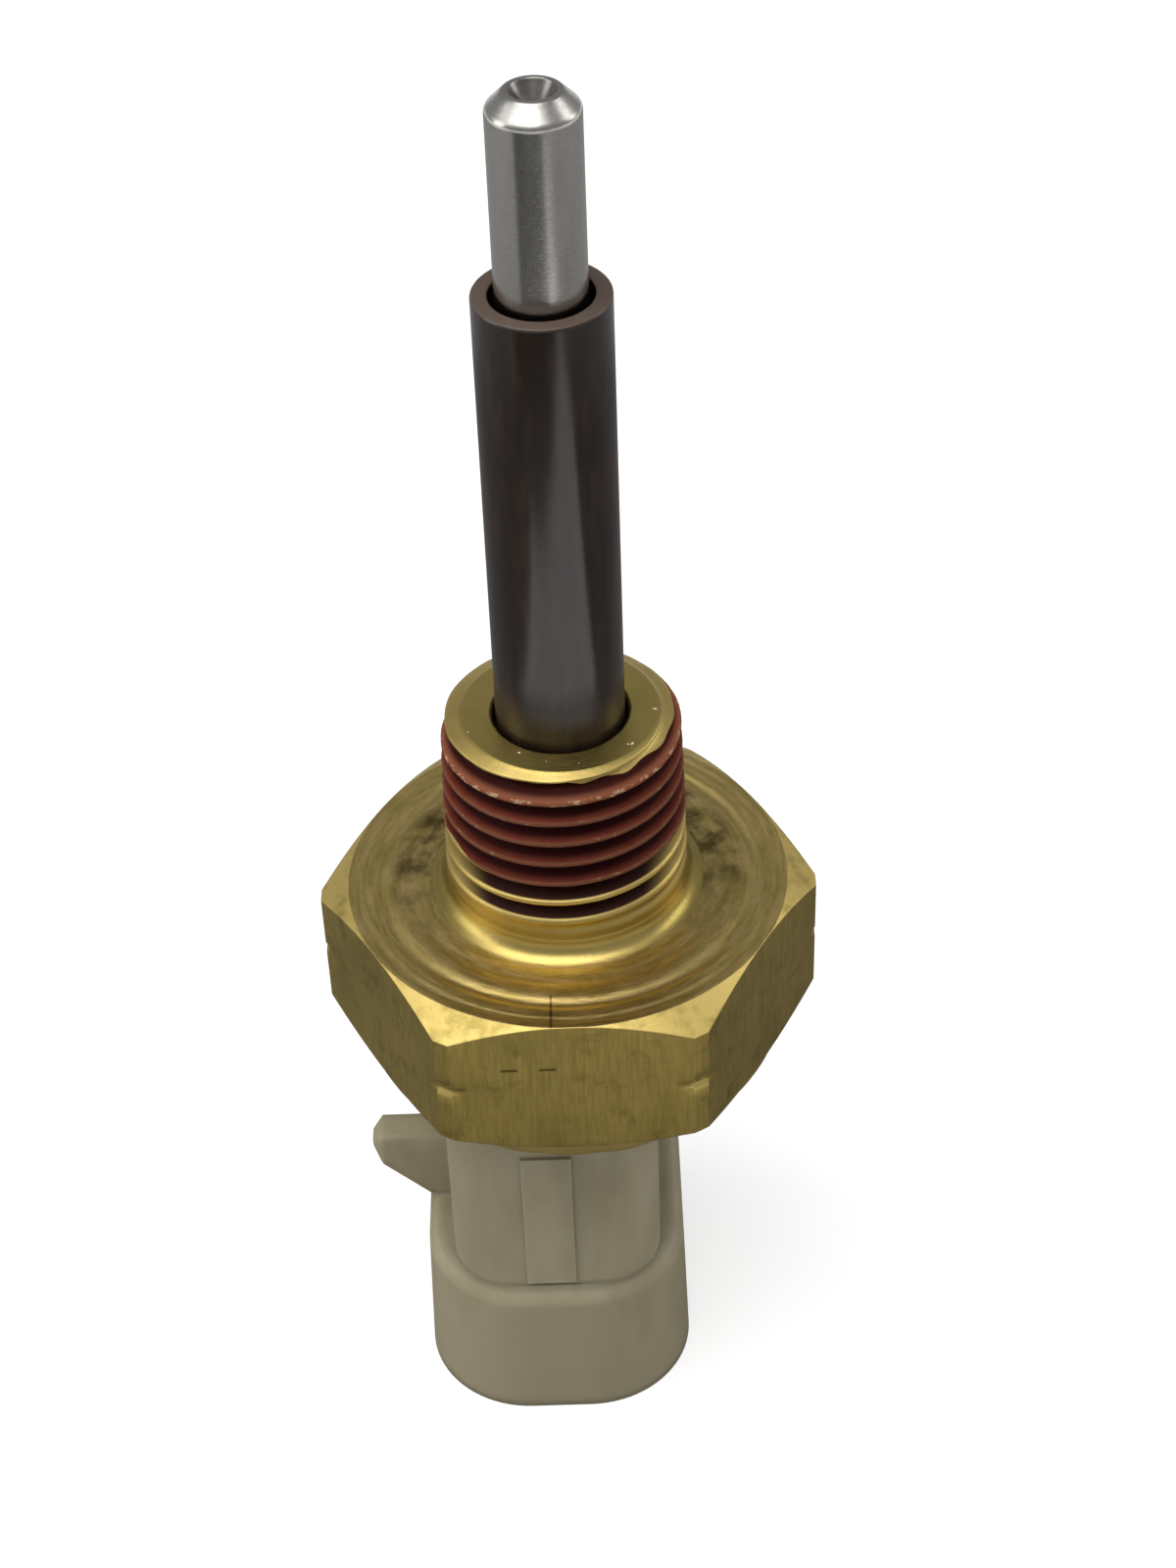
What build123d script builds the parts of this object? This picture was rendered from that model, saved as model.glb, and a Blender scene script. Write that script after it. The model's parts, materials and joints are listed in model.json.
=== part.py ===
"""Coolant temperature sender: brass pipe-thread body, sleeved steel probe, two-blade connector.

Frame: +Z runs up the probe axis, the origin lies on that axis at the connector mouth,
and the flats of the hexagon face +Y and -Y. All sizes are millimetres.
"""

import os
from math import cos, radians, tan

from build123d import *

# Heights along the axis, from the connector mouth up
skirt_height = 10.3
core_height = 16.3
lip_thickness = 0.8
lip_drop = 0.4
hex_height = 10.0
shank_length = 12.2
sleeve_projection = 26.4
probe_projection = 11.0

# Hexagon
across_flats = 25.4
corner_diameter = 28.8
top_chamfer_angle = 33.6
bottom_chamfer_angle = 45.0
nick_below_top = 4.8
nick_width = 0.8
nick_depth = 0.4
neck_bevel = 1.0

# Tapered pipe thread, given by its crest cone
thread_end_diameter = 13.25
thread_taper = 1 / 32
end_face_diameter = 10.9
end_bevel_height = 0.5

# Dried sealant on the thread
sealant_thickness = 0.1
sealant_height = 6.3
sealant_top_below_face = 0.65

# Bores of the body
bore_clearance = 0.22
socket_depth = 3.0
socket_clearance = 0.05
lip_clearance = 0.35
lip_outer_diameter = 24.3
lip_edge_chamfer = 0.3

# Sleeve
sleeve_diameter = 7.18
sleeve_bore_clearance = 0.32
sleeve_flange_diameter = 12.8
sleeve_flange_thickness = 2.2
stack_clearance = 0.1

# Probe
probe_diameter = 4.76
probe_chamfer = 0.92
probe_collar_diameter = 10.8
probe_collar_thickness = 1.2
probe_bore_diameter = 3.0
probe_tip_wall = 1.6
centre_hole_diameter = 2.7
centre_pilot_diameter = 1.0
centre_hole_angle = 60.0
centre_pilot_depth = 0.7

# Washer
washer_thickness = 1.0
washer_hole_diameter = 6.0

# Square-cut seal rings, by the side of their section
seal_clearance = 0.02
sleeve_seal_section = 1.4
probe_seal_section = 1.0
housing_seal_section = 1.2
housing_seal_inner_diameter = 16.4

# Connector skirt, measured at the mouth
skirt_width = 16.5
skirt_depth = 20.0
skirt_corner_radius = 6.4
skirt_shift = -1.65
skirt_draft = 1.7
skirt_wall = 1.3
skirt_edge_chamfer = 0.8
mouth_cavity_height = 9.0

# Connector core
core_width = 12.75
core_depth = 17.6
core_corner_radius = 3.6
core_shift = -1.55
core_wall = 1.5
web_height = 20.0
web_thickness = 2.2
pocket_diameter = 8.4
pocket_shift = -1.0
potting_recess = 0.8
flange_diameter = 23.4
spigot_length = 1.0

# Lock nib on the skirt side of the core
nib_reach = 5.0
nib_width = 2.1
nib_top_below_flange = 11.2
nib_tip_height = 1.7
nib_foot_reach = 1.55
nib_edge_chamfer = 0.6

# Raised pad on the front of the core
pad_width = 3.0
pad_height = 11.0
pad_above_ledge = 0.35
pad_thickness = 0.2
pad_shift = -0.35

# Terminals
blade_width = 1.5
blade_thickness = 0.8
blade_pitch = 5.2
blade_recess = 7.0
blade_tip_bevel = 0.25
shoulder_width = 2.6
shoulder_height = 1.2
tail_width = 1.1
tail_length = 2.4

# Thermistor, leads and sleeving
pellet_diameter = 2.2
pellet_length = 2.8
pellet_tip_gap = 1.2
tip_potting_length = 8.0
lead_diameter = 0.5
lead_pitch = 1.4
lead_bend_drop = 0.8
lead_tail_overlap = 2.0
sleeving_wall = 0.22
sleeving_clearance = 0.03
sleeving_start = 2.0

# Levels worked out from the sizes above
ledge_z = skirt_height
flange_z = ledge_z + core_height
lip_z = flange_z - lip_thickness
hex_z = lip_z + lip_drop
hex_top_z = hex_z + hex_height
face_z = hex_top_z + shank_length
sleeve_top_z = face_z + sleeve_projection
tip_z = sleeve_top_z + probe_projection
socket_z = flange_z + socket_depth
flange_thickness = socket_z - flange_z
spigot_z = socket_z + spigot_length
washer_z = spigot_z + washer_thickness
collar_z = washer_z + probe_collar_thickness
shoulder_z = collar_z + sleeve_flange_thickness
web_top_z = web_height + web_thickness

# Radii worked out from the sizes above
thread_end_radius = thread_end_diameter / 2
sleeve_radius = sleeve_diameter / 2
probe_radius = probe_diameter / 2
bore_radius = sleeve_radius + bore_clearance
sleeve_bore_radius = probe_radius + sleeve_bore_clearance
sleeve_flange_radius = sleeve_flange_diameter / 2
stack_radius = sleeve_flange_radius + stack_clearance
flange_radius = flange_diameter / 2
socket_radius = flange_radius + socket_clearance
core_reach = (
    ((core_width / 2 - core_corner_radius + abs(core_shift)) ** 2
     + (core_depth / 2 - core_corner_radius) ** 2) ** 0.5
    + core_corner_radius
)
lip_radius = core_reach + lip_clearance


def seal_room(section):
    """Width and height of the groove that takes a seal ring of this section."""
    return section + 2 * seal_clearance


def seal_ring(section, inner_radius, floor_z):
    """Seal ring lying in a groove whose inner wall and floor are given."""
    with BuildPart() as ring:
        ring_centre = inner_radius + seal_room(section) / 2
        with BuildSketch(Plane.XZ):
            with Locations((ring_centre, floor_z + seal_room(section) / 2)):
                Rectangle(section, section)
        revolve(axis=Axis.Z)
    return ring


def crest_radius(level):
    """Radius of the cone over the thread crests at a height."""
    return thread_end_radius + (face_z - level) * thread_taper


# Brass body: turned hexagon
corner_radius = corner_diameter / 2
flat_radius = across_flats / 2
sharp_corner_radius = flat_radius / cos(radians(30))
chamfer_reach = sharp_corner_radius - flat_radius
top_drop = chamfer_reach * tan(radians(top_chamfer_angle))
bottom_rise = chamfer_reach * tan(radians(bottom_chamfer_angle))
nick_z = hex_top_z - nick_below_top

with BuildPart() as brass_body:
    with BuildSketch(Plane.XY.offset(hex_z)):
        RegularPolygon(flat_radius, 6, major_radius=False)
    extrude(amount=hex_height)
    with BuildSketch(Plane.XZ):
        with BuildLine():
            Polyline(
                (0, hex_z),
                (flat_radius, hex_z),
                (sharp_corner_radius, hex_z + bottom_rise),
                (sharp_corner_radius, hex_top_z - top_drop),
                (flat_radius, hex_top_z),
                (0, hex_top_z),
                close=True,
            )
        make_face()
    revolve(axis=Axis.Z, mode=Mode.INTERSECT)
    with BuildSketch(Plane.XZ):
        with BuildLine():
            Polyline(
                (0, hex_z),
                (corner_radius, hex_z),
                (corner_radius, nick_z - nick_width / 2),
                (corner_radius - nick_depth, nick_z),
                (corner_radius, nick_z + nick_width / 2),
                (corner_radius, hex_top_z),
                (0, hex_top_z),
                close=True,
            )
        make_face()
    revolve(axis=Axis.Z, mode=Mode.INTERSECT)

    # Tapered shank above the hexagon, and the lip under it that holds the connector flange
    bevel_z = face_z - end_bevel_height
    neck_z = hex_top_z + neck_bevel
    lip_outer_radius = lip_outer_diameter / 2
    with BuildSketch(Plane.XZ):
        with BuildLine():
            Polyline(
                (0, face_z),
                (end_face_diameter / 2, face_z),
                (crest_radius(bevel_z), bevel_z),
                (crest_radius(neck_z), neck_z),
                (crest_radius(neck_z) + neck_bevel, hex_top_z),
                (0, hex_top_z),
                close=True,
            )
        make_face()
        with BuildLine():
            Polyline(
                (0, lip_z),
                (lip_outer_radius - lip_edge_chamfer, lip_z),
                (lip_outer_radius, lip_z + lip_edge_chamfer),
                (lip_outer_radius, hex_z),
                (0, hex_z),
                close=True,
            )
        make_face()
    revolve(axis=Axis.Z)

    # Through bore, seal chamber, stack bore and socket
    chamber_radius = sleeve_radius + seal_room(sleeve_seal_section)
    chamber_z = shoulder_z + seal_room(sleeve_seal_section)
    with BuildSketch(Plane.XZ):
        with BuildLine():
            Polyline(
                (0, lip_z),
                (lip_radius, lip_z),
                (lip_radius, flange_z),
                (socket_radius, flange_z),
                (socket_radius, socket_z),
                (stack_radius, socket_z),
                (stack_radius, shoulder_z),
                (chamber_radius, shoulder_z),
                (chamber_radius, chamber_z),
                (bore_radius, chamber_z),
                (bore_radius, face_z),
                (0, face_z),
                close=True,
            )
        make_face()
    revolve(axis=Axis.Z, mode=Mode.SUBTRACT)
brass_body.part.label = "brass_body"

# Dried sealant, a thin coat on the first threads
sealant_top_z = face_z - sealant_top_below_face
sealant_foot_z = sealant_top_z - sealant_height
with BuildPart() as thread_sealant:
    with BuildSketch(Plane.XZ):
        with BuildLine():
            Polyline(
                (crest_radius(sealant_top_z), sealant_top_z),
                (crest_radius(sealant_top_z) + sealant_thickness, sealant_top_z),
                (crest_radius(sealant_foot_z) + sealant_thickness, sealant_foot_z),
                (crest_radius(sealant_foot_z), sealant_foot_z),
                close=True,
            )
        make_face()
    revolve(axis=Axis.Z)
thread_sealant.part.label = "thread_sealant"

# Insulating sleeve, its flange under the shoulder of the body
with BuildPart() as probe_sleeve:
    probe_chamber_radius = probe_radius + seal_room(probe_seal_section)
    probe_chamber_z = collar_z + seal_room(probe_seal_section)
    with BuildSketch(Plane.XZ):
        with BuildLine():
            Polyline(
                (probe_chamber_radius, collar_z),
                (sleeve_flange_radius, collar_z),
                (sleeve_flange_radius, shoulder_z),
                (sleeve_radius, shoulder_z),
                (sleeve_radius, sleeve_top_z),
                (sleeve_bore_radius, sleeve_top_z),
                (sleeve_bore_radius, probe_chamber_z),
                (probe_chamber_radius, probe_chamber_z),
                close=True,
            )
        make_face()
    revolve(axis=Axis.Z)
probe_sleeve.part.label = "probe_sleeve"

# Steel probe: collar, blind bore, chamfered tip with a centre hole
probe_bore_radius = probe_bore_diameter / 2
centre_cone_depth = (
    (centre_hole_diameter - centre_pilot_diameter) / 2 / tan(radians(centre_hole_angle / 2))
)
probe_bore_top_z = tip_z - centre_cone_depth - centre_pilot_depth - probe_tip_wall
with BuildPart() as probe_tube:
    with BuildSketch(Plane.XZ):
        with BuildLine():
            Polyline(
                (0, washer_z),
                (probe_collar_diameter / 2, washer_z),
                (probe_collar_diameter / 2, collar_z),
                (probe_radius, collar_z),
                (probe_radius, tip_z - probe_chamfer),
                (probe_radius - probe_chamfer, tip_z),
                (0, tip_z),
                close=True,
            )
        make_face()
    revolve(axis=Axis.Z)
    with BuildSketch(Plane.XZ):
        with BuildLine():
            Polyline(
                (0, tip_z),
                (centre_hole_diameter / 2, tip_z),
                (centre_pilot_diameter / 2, tip_z - centre_cone_depth),
                (centre_pilot_diameter / 2, tip_z - centre_cone_depth - centre_pilot_depth),
                (0, tip_z - centre_cone_depth - centre_pilot_depth),
                close=True,
            )
        make_face()
    revolve(axis=Axis.Z, mode=Mode.SUBTRACT)
    with BuildSketch(Plane.XY.offset(washer_z)):
        Circle(probe_bore_radius)
    extrude(amount=probe_bore_top_z - washer_z, mode=Mode.SUBTRACT)
probe_tube.part.label = "probe_tube"

# Seal rings of sleeve, probe and connector
sleeve_seal = seal_ring(sleeve_seal_section, sleeve_radius, shoulder_z)
sleeve_seal.part.label = "sleeve_seal"
probe_seal = seal_ring(probe_seal_section, probe_radius, collar_z)
probe_seal.part.label = "probe_seal"
housing_groove_radius = housing_seal_inner_diameter / 2
housing_groove_z = socket_z - seal_room(housing_seal_section)
housing_seal = seal_ring(housing_seal_section, housing_groove_radius, housing_groove_z)
housing_seal.part.label = "housing_seal"

# Washer that backs the probe collar
with BuildPart() as insulating_washer:
    with BuildSketch(Plane.XY.offset(spigot_z)):
        Circle(sleeve_flange_radius)
        Circle(washer_hole_diameter / 2, mode=Mode.SUBTRACT)
    extrude(amount=washer_thickness)
insulating_washer.part.label = "insulating_washer"

# Thermistor pellet near the closed end of the probe
pellet_top_z = probe_bore_top_z - pellet_tip_gap
pellet_z = pellet_top_z - pellet_length
with BuildPart() as thermistor_pellet:
    with BuildSketch(Plane.XY.offset(pellet_z)):
        Circle(pellet_diameter / 2)
    extrude(amount=pellet_length)
thermistor_pellet.part.label = "thermistor_pellet"

# Two blade terminals, moulded into the web of the connector
blade_tip_z = blade_recess
tail_z = web_top_z + tail_length


def terminal(side):
    """Blade terminal on one side of the connector's middle plane."""
    blade_y = side * blade_pitch / 2
    shoulder_mid_z = web_height + web_thickness / 2
    with BuildPart() as blade:
        with BuildSketch(Plane.YZ.offset(core_shift)):
            with Locations((blade_y, (blade_tip_z + shoulder_mid_z) / 2)):
                Rectangle(blade_width, shoulder_mid_z - blade_tip_z)
            with Locations((blade_y, shoulder_mid_z)):
                Rectangle(shoulder_width, shoulder_height)
            with Locations((blade_y, (shoulder_mid_z + tail_z) / 2)):
                Rectangle(tail_width, tail_z - shoulder_mid_z)
        extrude(amount=blade_thickness / 2, both=True)
        chamfer(blade.faces().sort_by(Axis.Z)[0].edges(), blade_tip_bevel)
    return blade


signal_terminal = terminal(1)
signal_terminal.part.label = "signal_terminal"
return_terminal = terminal(-1)
return_terminal.part.label = "return_terminal"

# Leads from the pellet down to the terminal tails, and the sleeving on them
lead_radius = lead_diameter / 2
lead_tail_x = core_shift + blade_thickness / 2 + lead_radius
sleeving_radius = lead_radius + sleeving_clearance + sleeving_wall
tip_potting_z = probe_bore_top_z - tip_potting_length
sleeving_z = washer_z + sleeving_start


def lead(side):
    """Bare lead on one side, straight in the probe and bent out to its terminal."""
    with BuildPart() as wire:
        with BuildLine() as route:
            Polyline(
                (0, side * lead_pitch / 2, pellet_z),
                (0, side * lead_pitch / 2, spigot_z - lead_bend_drop),
                (lead_tail_x, side * blade_pitch / 2, tail_z + lead_bend_drop),
                (lead_tail_x, side * blade_pitch / 2, tail_z - lead_tail_overlap),
            )
        with BuildSketch(Plane(origin=route.line @ 0, z_dir=route.line % 0)):
            Circle(lead_radius)
        sweep(path=route.line, transition=Transition.RIGHT)
    return wire


def sleeving(side):
    """Insulating sleeving on the straight run of one lead."""
    with BuildPart() as tube:
        with BuildSketch(Plane.XY.offset(sleeving_z)):
            with Locations((0, side * lead_pitch / 2)):
                Circle(sleeving_radius)
                Circle(lead_radius + sleeving_clearance, mode=Mode.SUBTRACT)
        extrude(amount=tip_potting_z - sleeving_z)
    return tube


signal_lead = lead(1)
signal_lead.part.label = "signal_lead"
return_lead = lead(-1)
return_lead.part.label = "return_lead"
signal_lead_sleeving = sleeving(1)
signal_lead_sleeving.part.label = "signal_lead_sleeving"
return_lead_sleeving = sleeving(-1)
return_lead_sleeving.part.label = "return_lead_sleeving"

# Filling round the pellet
with BuildPart() as tip_potting:
    with BuildSketch(Plane.XY.offset(tip_potting_z)):
        Circle(probe_bore_radius)
    extrude(amount=tip_potting_length)
    add(thermistor_pellet.part, mode=Mode.SUBTRACT)
    add(signal_lead.part, mode=Mode.SUBTRACT)
    add(return_lead.part, mode=Mode.SUBTRACT)
tip_potting.part.label = "tip_potting"

def skirt_outline(level, wall=0):
    """Outline of the drafted skirt at a level, moved in by a wall where one is given."""
    inset = wall + level * tan(radians(skirt_draft))
    with BuildSketch(Plane.XY.offset(level)) as outline:
        with Locations((skirt_shift, 0)):
            RectangleRounded(
                skirt_width - 2 * inset,
                skirt_depth - 2 * inset,
                skirt_corner_radius - inset,
            )
    return outline.sketch


# Connector housing
with BuildPart() as connector_housing:
    # Skirt, drafted towards the ledge
    loft(sections=[skirt_outline(0), skirt_outline(skirt_height)])
    ledge_edges = connector_housing.faces().sort_by(Axis.Z)[-1].edges()
    chamfer(ledge_edges, skirt_edge_chamfer)

    # Core, flange and spigot
    with BuildSketch(Plane.XY.offset(ledge_z)):
        with Locations((core_shift, 0)):
            RectangleRounded(core_width, core_depth, core_corner_radius)
    extrude(amount=core_height)
    with BuildSketch(Plane.XY.offset(flange_z)):
        Circle(flange_radius)
    extrude(amount=flange_thickness)
    with BuildSketch(Plane.XY.offset(socket_z)):
        Circle(sleeve_flange_radius)
    extrude(amount=spigot_length)

    # Groove for the seal ring under the body
    with BuildSketch(Plane.XY.offset(socket_z)):
        Circle(housing_groove_radius + seal_room(housing_seal_section))
        Circle(housing_groove_radius, mode=Mode.SUBTRACT)
    extrude(amount=-seal_room(housing_seal_section), mode=Mode.SUBTRACT)

    # Lock nib
    core_side_x = core_shift - core_width / 2
    nib_tip_x = core_side_x - nib_reach
    nib_top_z = flange_z - nib_top_below_flange
    with BuildSketch(Plane.XZ):
        with BuildLine():
            Polyline(
                (core_side_x + core_wall / 2, nib_top_z),
                (nib_tip_x, nib_top_z),
                (nib_tip_x, nib_top_z - nib_tip_height),
                (core_side_x - nib_foot_reach, ledge_z),
                (core_side_x + core_wall / 2, ledge_z),
                close=True,
            )
        make_face()
    extrude(amount=nib_width / 2, both=True)
    nib_tip_face = connector_housing.faces().sort_by(Axis.X)[0]
    chamfer(nib_tip_face.edges(), nib_edge_chamfer)

    # Raised pad, left bare
    pad_mid_z = ledge_z + pad_above_ledge + pad_height / 2
    with BuildSketch(Plane.XZ.offset(core_depth / 2 - core_wall / 2)):
        with Locations((core_shift + pad_shift, pad_mid_z)):
            Rectangle(pad_width, pad_height)
    extrude(amount=core_wall / 2 + pad_thickness)

    # Mouth and cavity for the mating plug
    loft(
        sections=[skirt_outline(0, skirt_wall), skirt_outline(mouth_cavity_height, skirt_wall)],
        mode=Mode.SUBTRACT,
    )
    with BuildSketch(Plane.XY):
        with Locations((core_shift, 0)):
            RectangleRounded(
                core_width - 2 * core_wall,
                core_depth - 2 * core_wall,
                core_corner_radius - core_wall,
            )
    extrude(amount=web_height, mode=Mode.SUBTRACT)

    # Potting pocket above the web, and the terminals' own slots
    with BuildSketch(Plane.XY.offset(web_top_z)):
        with Locations((pocket_shift, 0)):
            Circle(pocket_diameter / 2)
    extrude(amount=spigot_z - web_top_z, mode=Mode.SUBTRACT)
    add(signal_terminal.part, mode=Mode.SUBTRACT)
    add(return_terminal.part, mode=Mode.SUBTRACT)
connector_housing.part.label = "connector_housing"

# Resin in the pocket, round tails and leads
with BuildPart() as potting_plug:
    with BuildSketch(Plane.XY.offset(web_top_z)):
        with Locations((pocket_shift, 0)):
            Circle(pocket_diameter / 2)
    extrude(amount=spigot_z - potting_recess - web_top_z)
    add(signal_terminal.part, mode=Mode.SUBTRACT)
    add(return_terminal.part, mode=Mode.SUBTRACT)
    add(signal_lead.part, mode=Mode.SUBTRACT)
    add(return_lead.part, mode=Mode.SUBTRACT)
potting_plug.part.label = "potting_plug"

# One file for each piece
pieces = [
    brass_body,
    thread_sealant,
    probe_sleeve,
    probe_tube,
    sleeve_seal,
    probe_seal,
    housing_seal,
    insulating_washer,
    thermistor_pellet,
    tip_potting,
    signal_lead,
    return_lead,
    signal_lead_sleeving,
    return_lead_sleeving,
    signal_terminal,
    return_terminal,
    connector_housing,
    potting_plug,
]
os.makedirs("parts", exist_ok=True)
for piece in pieces:
    export_step(piece.part, f"parts/{piece.part.label}.step")
    print(piece.part.label, round(piece.part.volume, 3), "mm3")
print("core reach", round(core_reach, 3), "lip radius", round(lip_radius, 3))
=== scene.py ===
"""Coolant temperature sender: the looks of the part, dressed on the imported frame.

Sizes are millimetres in the part's own frame and become metres where a mesh, a lamp or the
camera is made. Z runs up the probe axis, the hexagon's flats face +Y and -Y.
"""

from __future__ import annotations

import json
import logging
import math
from dataclasses import dataclass, field
from enum import Enum
from typing import Sequence, Union

import bpy
import numpy as np
from mathutils import Matrix, Vector

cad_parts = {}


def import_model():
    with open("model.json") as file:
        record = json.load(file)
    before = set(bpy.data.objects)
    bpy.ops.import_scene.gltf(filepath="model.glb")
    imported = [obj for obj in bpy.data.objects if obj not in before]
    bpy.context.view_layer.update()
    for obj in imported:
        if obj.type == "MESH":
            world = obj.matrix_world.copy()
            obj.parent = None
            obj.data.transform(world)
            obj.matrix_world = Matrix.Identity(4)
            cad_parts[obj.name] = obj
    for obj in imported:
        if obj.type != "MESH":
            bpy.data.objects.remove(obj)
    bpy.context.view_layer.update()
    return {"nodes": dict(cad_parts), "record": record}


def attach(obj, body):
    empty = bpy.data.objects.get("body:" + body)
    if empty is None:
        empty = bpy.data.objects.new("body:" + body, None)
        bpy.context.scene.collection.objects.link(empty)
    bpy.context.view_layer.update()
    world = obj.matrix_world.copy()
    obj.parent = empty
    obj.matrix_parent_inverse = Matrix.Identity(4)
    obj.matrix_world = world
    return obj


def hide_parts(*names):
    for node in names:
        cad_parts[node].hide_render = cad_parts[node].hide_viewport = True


LOG = logging.getLogger("sender")
MM = 0.001
ROOT = "root"

# Sizes in millimetres that several of the classes share
FLAT_RADIUS = 12.7
HEX_TOP = 36.2
END_FACE = 48.4
END_RADIUS = 6.625
TAPER = 1 / 32
TIP = 85.8
TIP_HOLE_RADIUS = 1.18

Colour = tuple[float, float, float]
Operand = Union["Wire", float]
Tint = Union["Wire", Colour]
Measure = Union[np.ndarray, float]


class Slot(Enum):
    """Material slots of the record."""

    BRASS = "brass"
    SEALANT = "sealant"
    STEEL = "steel"
    SLEEVE = "sleeve"
    NYLON = "nylon"
    RUBBER = "rubber"
    WASHER = "washer"
    CERAMIC = "ceramic"
    FILLING = "filling"
    COPPER = "copper"
    SLEEVING = "sleeving"
    TERMINAL = "terminal"
    RESIN = "resin"


@dataclass(frozen=True)
class Wire:
    """One socket of a material, with Python's operators standing for Math nodes."""

    tree: bpy.types.NodeTree
    socket: bpy.types.NodeSocket

    def _math(self, operation: str, *operands: Operand, flip: bool = False) -> Wire:
        """Adds one Math node.

        Args:
            operation: Blender's name of the operation.
            operands: the other values, after this one.
            flip: puts the one operand before this socket.

        Returns:
            The node's result.
        """
        node = self.tree.nodes.new("ShaderNodeMath")
        node.operation = operation
        values: list[Operand] = [self, *operands]
        if flip:
            values.reverse()
        for place, value in zip(node.inputs, values):
            if isinstance(value, Wire):
                self.tree.links.new(value.socket, place)
            else:
                place.default_value = value
        return Wire(self.tree, node.outputs[0])

    def __add__(self, other: Operand) -> Wire:
        """Sum."""
        return self._math("ADD", other)

    __radd__ = __add__

    def __sub__(self, other: Operand) -> Wire:
        """Difference."""
        return self._math("SUBTRACT", other)

    def __rsub__(self, other: Operand) -> Wire:
        """Difference with this socket last."""
        return self._math("SUBTRACT", other, flip=True)

    def __mul__(self, other: Operand) -> Wire:
        """Product."""
        return self._math("MULTIPLY", other)

    __rmul__ = __mul__

    def __truediv__(self, other: Operand) -> Wire:
        """Quotient."""
        return self._math("DIVIDE", other)

    def __abs__(self) -> Wire:
        """Size without sign."""
        return self._math("ABSOLUTE")

    def root(self) -> Wire:
        """Square root."""
        return self._math("SQRT")

    def angle_of(self, across: Wire) -> Wire:
        """Angle round the axis, this socket being the Y and across the X coordinate."""
        return self._math("ARCTAN2", across)

    def least(self, other: Operand) -> Wire:
        """The smaller of two."""
        return self._math("MINIMUM", other)

    def most(self, other: Operand) -> Wire:
        """The larger of two."""
        return self._math("MAXIMUM", other)

    def between(self, low: float, high: float) -> Wire:
        """Smooth step that is zero at low and one at high; low may be the greater."""
        node = self.tree.nodes.new("ShaderNodeMapRange")
        node.interpolation_type = "SMOOTHSTEP"
        self.tree.links.new(self.socket, node.inputs[0])
        rising = high > low
        node.inputs[1].default_value = low if rising else high
        node.inputs[2].default_value = high if rising else low
        node.inputs[3].default_value = 0.0 if rising else 1.0
        node.inputs[4].default_value = 1.0 if rising else 0.0
        return Wire(self.tree, node.outputs[0])

    def band(self, centre: float, half_width: float, soft: float) -> Wire:
        """One inside a band, falling to zero over a soft edge."""
        return abs(self - centre).between(half_width + soft, half_width)


def new_mesh(name: str, points: Sequence, faces: Sequence) -> bpy.types.Mesh:
    """A mesh of points, in metres, and faces."""
    mesh = bpy.data.meshes.new(name)
    mesh.from_pydata(points, [], faces)
    return mesh


def new_object(name: str, data: bpy.types.ID) -> bpy.types.Object:
    """An object in the scene that shows a mesh, a lamp or a camera."""
    piece = bpy.data.objects.new(name, data)
    bpy.context.scene.collection.objects.link(piece)
    return piece


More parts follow.
